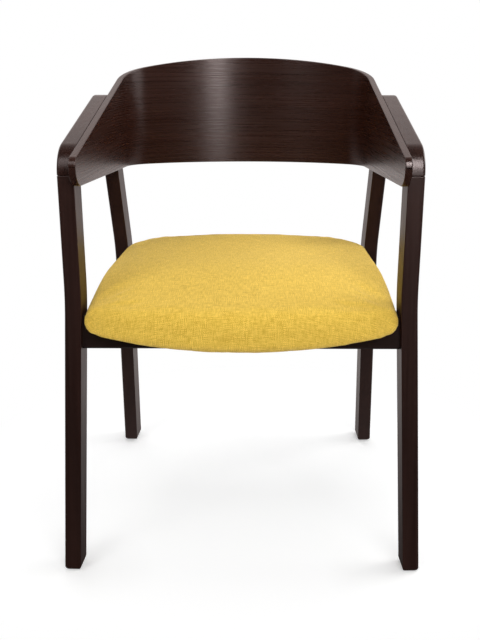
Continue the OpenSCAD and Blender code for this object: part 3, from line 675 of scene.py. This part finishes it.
def plain(name, base, roughness, metallic=0.0, grain=0.0):
    """A plain finish whose roughness and bump vary a little over the surface."""
    made, n, shader = new_material(name)
    where = n.node("ShaderNodeTexCoord").outputs["Object"]
    fine = n.noise(where, 900.0, 3.0, 0.6)
    broad = n.noise(where, 40.0, 2.0)
    dark = colour(*(0.8 * c for c in base))
    light = colour(*(min(1.0, 1.15 * c) for c in base))
    n.put(shader.inputs["Base Color"], n.mix(broad, dark, light))
    n.put(shader.inputs["Roughness"], n.remap(fine, 0.3, 0.7, roughness - 0.07, roughness + 0.07))
    shader.inputs["Metallic"].default_value = metallic
    bumped = n.node("ShaderNodeBump", Height=fine, Strength=0.1 + grain, Distance=0.0003)
    n.put(shader.inputs["Normal"], bumped.outputs[0])
    return made


CLOTH = cloth_yellow()
BLACK_CLOTH = plain("black_dust_cloth", (0.012, 0.012, 0.013), 0.9, grain=0.6)
STEEL = plain("zinc_screw", (0.55, 0.55, 0.56), 0.35, metallic=1.0)
BRASS = plain("brass_insert", (0.60, 0.42, 0.15), 0.35, metallic=1.0)
GLIDE = plain("glide_plastic", (0.02, 0.02, 0.02), 0.6)

# ---------------------------------------------------------------- the wooden pieces

for side, hand in ((-1, "left"), (1, "right")):
    for shape, rings, wood in (
        ("front_leg", front_leg_rings(), FRONT_LEG_WOOD),
        ("rear_leg", rear_leg_rings(), REAR_LEG_WOOD),
        ("arm", arm_rings(), ARM_WOOD),
    ):
        placed = to_world(rings, side)
        node = f"{shape}_{hand}"
        finished(swept(f"{node}_wood", placed, flip=side < 0), wood, "dark_wood", node)

shell = swept("back_shell_veneer", shell_rings(), level=shell_level())
finished(shell, SHELL_WOOD, "dark_plywood", "back_shell")

# ---------------------------------------------------------------- the cushion


def arch_r(half, drop):
    """Radius of an arc that falls by drop over half its width."""
    return (half**2 + drop**2) / (2 * drop)


# The net's smoothing and the cloth's tension draw the cushion in, by about START_INSET all round and by
# about SIDE_ALLOWANCE more at the sides. The starting shape is that much larger.
SIDE_ALLOWANCE = 4 * MM
START_INSET = -1.2 * MM
SIDE_HALF = HALF_WIDTH - FRAME_W - SEAT_GAP + SIDE_ALLOWANCE
CROWN_R = arch_r(SIDE_HALF, SEAT_CROWN)
CROWN_Z = SEAT_TOP_Z - CROWN_R
BOW_Y = FRONT_Y - SEAT_NOSE + SEAT_BOW_R
NOSE_X = SEAT_BOW_R - SEAT_NOSE_R
SLOPE_X = SEAT_BOW_R - SEAT_SLOPE_L
SLOPE_Z = SEAT_TOP_Z - SEAT_SLOPE_R
SLOPE_ANGLE = math.asin((NOSE_X - SLOPE_X) / (SEAT_SLOPE_R - SEAT_NOSE_R))
NOSE_Z = SLOPE_Z + (SEAT_SLOPE_R - SEAT_NOSE_R) * math.cos(SLOPE_ANGLE)
REAR_EDGE_R = 7 * MM
LOW_CORNER_R = 24 * MM
FALL_SOFT = 10 * MM
RAIL_ROOM = 0.8 * MM
LIP_ROOM = 1.2 * MM
UNDER_EDGE_R = 3 * MM
NET = 5 * MM
PRESSURE = 4.0
STIFFNESS, BENDING = 15, 0.5
SWELL_FRAMES = 20
SWELL_CAP = 2.5 * MM


def meeting(a, b, r):
    """Depth inside both of two bodies, from the depths a and b. Their shared edge has radius r."""
    return np.maximum(r, np.minimum(a, b)) - np.hypot(np.maximum(r - a, 0), np.maximum(r - b, 0))


def cornered(depth, a, b, r):
    """The depth, and past an arc's centre on both axes, by a and by b, the depth inside that arc."""
    return np.where((a > 0) & (b > 0), r - np.hypot(a, b), depth)


def side_section(r, z):
    """Depth in the side view, r before the bow's centre: level top, falling arc, nose and low edge."""
    top = np.where(r < SLOPE_X, SEAT_TOP_Z - z, SEAT_SLOPE_R - np.hypot(r - SLOPE_X, z - SLOPE_Z))
    depth = np.minimum(top, np.minimum(SEAT_BOW_R - r, z - SEAT_LOW_Z))
    past = r - NOSE_X - math.tan(SLOPE_ANGLE) * (z - NOSE_Z)
    on_nose = (past > 0) & (z > NOSE_Z) & (r > NOSE_X)
    depth = np.where(on_nose, SEAT_NOSE_R - np.hypot(r - NOSE_X, z - NOSE_Z), depth)
    return cornered(depth, r - SEAT_BOW_R + SEAT_LOW_R, SEAT_LOW_Z + SEAT_LOW_R - z, SEAT_LOW_R)


def top_view(across, z, r):
    """Depth in the front view's upper half: the crown, the upright side and an edge of radius r."""
    edge_x = SIDE_HALF - r
    edge_z = CROWN_Z + np.sqrt((CROWN_R - r) ** 2 - edge_x**2)
    depth = np.minimum(SIDE_HALF - across, CROWN_R - np.hypot(across, z - CROWN_Z))
    return cornered(depth, across - edge_x, z - edge_z, r)


def low_view(across, z):
    """Depth in the front view's lower half: an arch that rises to the sides, and a rounded corner."""
    rise_r = arch_r(SIDE_HALF, SEAT_RISE)
    edge_x = SIDE_HALF - LOW_CORNER_R
    edge_z = SEAT_LOW_Z + rise_r - math.sqrt((rise_r - LOW_CORNER_R) ** 2 - edge_x**2)
    arch = np.where(z < edge_z + LOW_CORNER_R, rise_r - np.hypot(across, z - SEAT_LOW_Z - rise_r), 1.0)
    depth = np.minimum(SIDE_HALF - across, arch)
    return cornered(depth, across - edge_x, edge_z - z, LOW_CORNER_R)


def plan_depth(across, y):
    """Depth in the top view: toed-in sides, the front corners' arcs and the larger rear ones."""
    front_x = SIDE_HALF - SEAT_FRONT_R
    corner_y = BOW_Y - math.sqrt((SEAT_BOW_R - SEAT_FRONT_R) ** 2 - front_x**2)
    side = (SIDE_HALF - math.tan(TOE_IN) * np.maximum(y - corner_y, 0) - across) * math.cos(TOE_IN)
    depth = meeting(side, FRONT_Y + SEAT_REAR_Y - y, SEAT_CORNER_R)
    return cornered(depth, across - front_x, corner_y - y, SEAT_FRONT_R)


def cushion_depth(x, y, z):
    """How deep a point lies inside the cushion. Negative outside.

    The section is turned about the bow's centre. The front view is level at the rear and falls with
    the top towards the nose, with a soft change between. The upper edge at the rear is rounded too. The
    seat frame's top bounds the cushion below, and before the front rail's face its lip hangs lower.
    """
    across = np.abs(x)
    section = side_section(np.hypot(x, y - BOW_Y), z)
    tilt_y = y - (FRONT_Y + SEAT_SLOPE_L - SEAT_NOSE)
    tilted = (z - SEAT_TOP_Z) * math.cos(SEAT_TILT) - tilt_y * math.sin(SEAT_TILT) + SEAT_TOP_Z
    near = np.maximum(FALL_SOFT - np.abs(tilted - z), 0)
    fallen = np.maximum(z, tilted) + near**2 / (4 * FALL_SOFT)
    share = np.clip((tilted - z) / (2 * FALL_SOFT) + 0.5, 0, 1)
    views = top_view(across, fallen, SEAT_EDGE_R + share * (SEAT_FALL_EDGE_R - SEAT_EDGE_R))
    outline = plan_depth(across, y)
    whole = np.minimum(np.minimum(section, views), np.minimum(outline, low_view(across, z)))
    whole = np.minimum(whole, meeting(views, outline, REAR_EDGE_R)) - START_INSET
    body = meeting(whole, z - RAIL_TOP_Z - RAIL_ROOM, UNDER_EDGE_R)
    lip = np.minimum(whole, RAIL_SETBACK - LIP_ROOM - (y - FRONT_Y))
    return np.maximum(body, lip)


def cushion_mesh(name, around=480, levels=161):
    """The cushion as a closed grid of rays from a point that sees all of it, over the front rail's face.

    Directions run round and from straight down to straight up, flattened as the cushion is. Each ray's
    length is found by halving between inside and outside.
    """
    middle = np.array([0, FRONT_Y - 20 * MM, RAIL_TOP_Z + 15 * MM])
    flattened = np.array([0.25, 0.25, 0.06])
    u = np.linspace(0, 2 * math.pi, around, endpoint=False)
    v = np.linspace(-math.pi / 2, math.pi / 2, levels)[1:-1]
    v, u = np.meshgrid(v, u, indexing="ij")
    ways = np.stack([np.cos(v) * np.cos(u), np.cos(v) * np.sin(u), np.sin(v)], -1).reshape(-1, 3)
    ways = np.concatenate([ways, [[0, 0, -1], [0, 0, 1]]]) * flattened
    near, far = np.zeros(len(ways)), np.full(len(ways), 3.0)
    for _ in range(32):
        half = (near + far) / 2
        inside = cushion_depth(*(middle + ways * half[:, None]).T) > 0
        near, far = np.where(inside, half, near), np.where(inside, far, half)
    index, moved, quads = tube(levels - 2, around)
    low = np.stack([moved[0], index[0], np.full(around, index.size)], -1)
    high = np.stack([index[-1], moved[-1], np.full(around, index.size + 1)], -1)
    points = middle + ways * near[:, None]
    mesh = bpy.data.meshes.new(name)
    mesh.from_pydata(points.tolist(), [], quads.tolist() + low.tolist() + high.tolist())
    mesh.update()
    return placed_object(name, mesh)


def coordinates(mesh):
    """A mesh's points as an array."""
    co = np.zeros(len(mesh.vertices) * 3, np.float32)
    mesh.vertices.foreach_get("co", co)
    return co.reshape(-1, 3).astype(float)


def applied(obj):
    """Applies every modifier of obj."""
    bpy.context.view_layer.update()
    graph = bpy.context.evaluated_depsgraph_get()
    mesh = bpy.data.meshes.new_from_object(obj.evaluated_get(graph))
    obj.modifiers.clear()
    obj.data = mesh


def swell(obj, pressure, cap):
    """Cloth under inner pressure, with the underside held. No point moves further than cap."""
    before = coordinates(obj.data)
    held = obj.vertex_groups.new(name="held")
    low = (before[:, 2] < RAIL_TOP_Z + 3 * MM) & (before[:, 1] > FRONT_Y + 2 * MM)
    held.add(np.nonzero(low)[0].tolist(), 1.0, "REPLACE")
    cloth = obj.modifiers.new("cloth", "CLOTH")
    cloth.settings.use_pressure = True
    cloth.settings.uniform_pressure_force = pressure
    cloth.settings.vertex_group_mass = "held"
    cloth.settings.effector_weights.gravity = 0
    cloth.settings.tension_stiffness = STIFFNESS
    cloth.settings.compression_stiffness = STIFFNESS
    cloth.settings.bending_stiffness = BENDING
    cloth.collision_settings.use_collision = False
    for number in range(1, SWELL_FRAMES + 1):
        SCENE.frame_set(number)
    applied(obj)
    move = coordinates(obj.data) - before
    length = np.linalg.norm(move, axis=1, keepdims=True)
    after = before + move * np.minimum(1, cap / np.maximum(length, 1e-9))
    obj.data.vertices.foreach_set("co", after.astype(np.float32).ravel())
    SCENE.frame_set(1)


def lay_cloth(mesh):
    """UV in metres: plain on the seat's top, with the nose's arc, the sides and the rear folded out."""
    co = coordinates(mesh)
    past = np.maximum(np.hypot(co[:, 0], co[:, 1] - BOW_Y) - NOSE_X, 0)
    angle = np.arctan2(past, np.maximum(co[:, 2] - NOSE_Z, 1e-6))
    nose = np.where(past > 0, SEAT_NOSE_R * angle + np.maximum(NOSE_Z - co[:, 2], 0) - past, 0)
    below_top = SEAT_TOP_Z - SEAT_CROWN * (co[:, 0] / SIDE_HALF) ** 2 - co[:, 2]
    hang = np.maximum(below_top - SEAT_EDGE_R, 0)
    fall = np.maximum(below_top - REAR_EDGE_R, 0)
    change = 20 * MM
    side = np.clip((np.abs(co[:, 0]) - (SIDE_HALF - 2 * change)) / change, 0, 1)
    rear = np.clip((co[:, 1] - (FRONT_Y + SEAT_REAR_Y - 1.5 * change)) / change, 0, 1)
    u = co[:, 0] + np.sign(co[:, 0]) * side * hang
    v = co[:, 1] - BOW_Y - nose + rear * fall
    loops = np.zeros(len(mesh.loops), np.int32)
    mesh.loops.foreach_get("vertex_index", loops)
    layer = mesh.uv_layers.new(name="cloth")
    layer.data.foreach_set("uv", np.stack([u, v], -1)[loops].astype(np.float32).ravel())


def make_cushion():
    """The padded seat: an even net over its shape, swollen as cloth, smoothed and refined once."""
    obj = cushion_mesh("seat_cushion")
    net = obj.modifiers.new("even", "REMESH")
    net.mode = "VOXEL"
    net.voxel_size = NET
    smooth = obj.modifiers.new("smooth", "SMOOTH")
    smooth.factor = 0.5
    smooth.iterations = 5
    applied(obj)
    swell(obj, PRESSURE, SWELL_CAP)
    finer = obj.modifiers.new("finer", "SUBSURF")
    finer.levels = finer.render_levels = 1
    applied(obj)
    lay_cloth(obj.data)
    obj.data.polygons.foreach_set("use_smooth", np.ones(len(obj.data.polygons), bool))
    obj.data.update()
    finished(obj, CLOTH, "seat_fabric", "seat_cover", "seat_foam")


make_cushion()

# ---------------------------------------------------------------- the CAD pieces that stay

FINISHES = {
    SHADED_RAIL_WOOD_X: ("front_rail", "rear_rail"),
    SHADED_RAIL_WOOD_Y: ("side_rail_left", "side_rail_right"),
    PLAIN_WOOD: (
        "corner_block_front_left",
        "corner_block_front_right",
        "corner_block_rear_left",
        "corner_block_rear_right",
        "seat_board",
        "seat_nose_block",
        "arm_front_dowels",
        "arm_rear_dowels",
        "shell_dowels",
        "rail_dowels",
    ),
    BLACK_CLOTH: ("dust_cover",),
    STEEL: ("frame_bolts", "corner_block_screws", "seat_screws"),
    BRASS: ("threaded_inserts",),
    GLIDE: ("foot_glides",),
}
for finish, names in FINISHES.items():
    for name in names:
        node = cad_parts[name]
        node.data.materials.clear()
        node.data.materials.append(finish)

# ---------------------------------------------------------------- floor, world, lamps and camera

# What glossy surfaces mirror is a little warmer than white, bright behind the chair and dim before it.
MIRRORED = colour(1.0, 0.905, 0.88)
WHITE = colour(1.0, 1.0, 1.0)
AMBIENT = 0.15
FLOOR_HALF = 8.0
FLOOR_BOUNCE = 0.75

# The floor that the camera sees is plain white, but round these points it keeps a share of its real
# light and shadow: (x, y), the distances where the share is full and where it ends, and its most.
UNDER_SEAT = (0.0, 0.14)
FRONT_FOOT = (HALF_WIDTH, FRONT_Y + FRONT_FOOT_D / 2)
REAR_FOOT = (HALF_WIDTH - REAR_FOOT_Y * math.sin(TOE_IN), FRONT_Y + REAR_FOOT_Y + REAR_FOOT_D / 2)
SHADED = (
    (UNDER_SEAT, 0.15, 0.58, 0.50),
    (FRONT_FOOT, 0.03, 0.17, 0.85),
    (REAR_FOOT, 0.03, 0.17, 0.85),
)
# The share's own colour, and how much plain white it takes away.
KEPT_COLOUR, KEPT_WHITE = 0.95, 0.76


def share_around(n, place, point, near, far, most):
    """A share that falls from most to nothing, near to far from a point and its mirror image."""
    across = n.math("SUBTRACT", n.math("ABSOLUTE", place.outputs["X"]), point[0])
    along = n.math("SUBTRACT", place.outputs["Y"], point[1])
    squares = n.math("ADD", n.math("MULTIPLY", across, across), n.math("MULTIPLY", along, along))
    return n.remap(n.math("SQRT", squares), near, far, most, 0.0)


def make_floor():
    """A large pale floor. The camera sees it mostly plain white, with a soft share of the shadows."""
    mesh = bpy.data.meshes.new("floor")
    corners = [(x * FLOOR_HALF, y * FLOOR_HALF, 0) for x, y in ((-1, -1), (1, -1), (1, 1), (-1, 1))]
    mesh.from_pydata(corners, [], [(0, 1, 2, 3)])
    obj = placed_object("floor", mesh)
    made, n, shader = new_material("studio_floor")
    n.tree.nodes.remove(shader)
    place = n.node("ShaderNodeSeparateXYZ", Vector=n.node("ShaderNodeTexCoord").outputs["Object"])
    path = n.node("ShaderNodeLightPath")

    keep = share_around(n, place, *SHADED[0])
    for spot in SHADED[1:]:
        keep = n.math("MAXIMUM", keep, share_around(n, place, *spot))
    lit = n.node("ShaderNodeBsdfDiffuse", Color=n.grey(n.math("MULTIPLY", keep, KEPT_COLOUR)))
    rest = n.math("SUBTRACT", 1.0, n.math("MULTIPLY", keep, KEPT_WHITE))
    white = n.node("ShaderNodeEmission", Color=WHITE, Strength=rest)
    seen = n.filled("ShaderNodeAddShader", {}, lit.outputs[0], white.outputs[0])

    mirrored_tone = n.remap(place.outputs["Y"], -0.3, 0.7, 0.03, 0.78)
    mirrored = n.node("ShaderNodeEmission", Color=MIRRORED, Strength=mirrored_tone)
    pale = n.node("ShaderNodeBsdfDiffuse", Color=colour(FLOOR_BOUNCE, FLOOR_BOUNCE, FLOOR_BOUNCE))
    unseen = n.choice(path.outputs["Is Glossy Ray"], pale.outputs[0], mirrored.outputs[0])
    surface = n.choice(path.outputs["Is Camera Ray"], unseen, seen)
    n.put(n.tree.nodes["Material Output"].inputs["Surface"], surface)
    mesh.materials.append(made)


def make_world():
    """White to the camera and even for diffuse light. Reflections find it bright behind, dim before."""
    world = bpy.data.worlds.new("studio")
    SCENE.world = world
    world.use_nodes = True
    n = Nodes(world.node_tree)
    back = n.tree.nodes["Background"]
    way = n.node("ShaderNodeSeparateXYZ", Vector=n.node("ShaderNodeTexCoord").outputs["Generated"])
    path = n.node("ShaderNodeLightPath")
    glossy = path.outputs["Is Glossy Ray"]

    rear = n.remap(way.outputs["Y"], -0.15, 0.35, 0.02, 1.0)
    sides = n.remap(n.math("ABSOLUTE", way.outputs["X"]), 0.25, 0.75, 0.0, 0.12)
    overhead = n.remap(way.outputs["Z"], 0.70, 0.90, 1.0, 0.35)
    level = n.math("MULTIPLY", n.math("MAXIMUM", rear, sides), overhead)
    strength = n.math("MULTIPLY_ADD", glossy, n.math("SUBTRACT", level, AMBIENT), AMBIENT)
    n.put(back.inputs["Strength"], strength)
    n.put(back.inputs["Color"], n.mix(glossy, WHITE, MIRRORED))
    white = n.node("ShaderNodeBackground", Color=WHITE, Strength=1.0)
    sky = n.choice(path.outputs["Is Camera Ray"], back.outputs[0], white.outputs[0])
    n.put(n.tree.nodes["World Output"].inputs["Surface"], sky)


LAMP_TARGET = Vector((0, 0, 0.6))


def softbox(name, azimuth, elevation, distance, width, height, radiance):
    """An area lamp that faces the target. Azimuth 0 is before the chair, and + is to its right."""
    data = bpy.data.lights.new(name, "AREA")
    data.shape = "RECTANGLE"
    data.size, data.size_y = width, height
    data.energy = radiance * math.pi * width * height
    lamp = placed_object(name, data)
    a, e = math.radians(azimuth), math.radians(elevation)
    away = Vector((math.sin(a) * math.cos(e), -math.cos(a) * math.cos(e), math.sin(e)))
    lamp.location = LAMP_TARGET + away * distance
    lamp.rotation_mode = "QUATERNION"
    lamp.rotation_quaternion = away.to_track_quat("Z", "Y")
    lamp.visible_camera = False
    return lamp


make_floor()
make_world()
# Azimuth and elevation in degrees, distance, width and height in metres, and radiance. The key and the
# strip give only the long highlights, and the two broad lamps only diffuse light.
softbox("key", 19.5, 34, 2.3, 0.50, 1.10, 22.0).visible_diffuse = False
softbox("strip", 17.5, 10, 2.3, 0.42, 0.56, 8.3).visible_diffuse = False
softbox("front", 16, 26, 5.0, 2.5, 2.5, 6.6).visible_glossy = False
softbox("overhead", 180, 80, 3.0, 2.2, 2.2, 4.0).visible_glossy = False
softbox("fill_left", -36, 36, 2.6, 0.9, 1.3, 4.4)
softbox("fill_right", 100, 24, 2.4, 1.3, 0.9, 7.0)

# The camera stands before the chair, level with the top of its back, and looks down a little.
EYE = (0.0354, FRONT_Y - 1.3117, 0.8050)
PITCH, YAW, ROLL = math.radians(8.4), math.radians(0.411), math.radians(0.044)
LENS = 50.0
LENS_SHIFT = (-0.0284, -0.20)


def make_camera():
    """The view from the front, through a shifted lens."""
    data = bpy.data.cameras.new("view")
    data.sensor_fit = "AUTO"
    data.sensor_width = 36.0
    data.lens = LENS
    data.shift_x, data.shift_y = LENS_SHIFT
    data.clip_start, data.clip_end = 0.05, 50
    cam = placed_object("view", data)
    cam.location = EYE
    level = math.cos(PITCH)
    ahead = Vector((-math.sin(YAW) * level, math.cos(YAW) * level, -math.sin(PITCH)))
    turn = ahead.to_track_quat("-Z", "Y").to_matrix().to_4x4() @ Matrix.Rotation(ROLL, 4, "Z")
    cam.rotation_mode = "QUATERNION"
    cam.rotation_quaternion = turn.to_quaternion()
    SCENE.camera = cam


make_camera()
SCENE.view_settings.view_transform = "Standard"

bpy.context.view_layer.update()
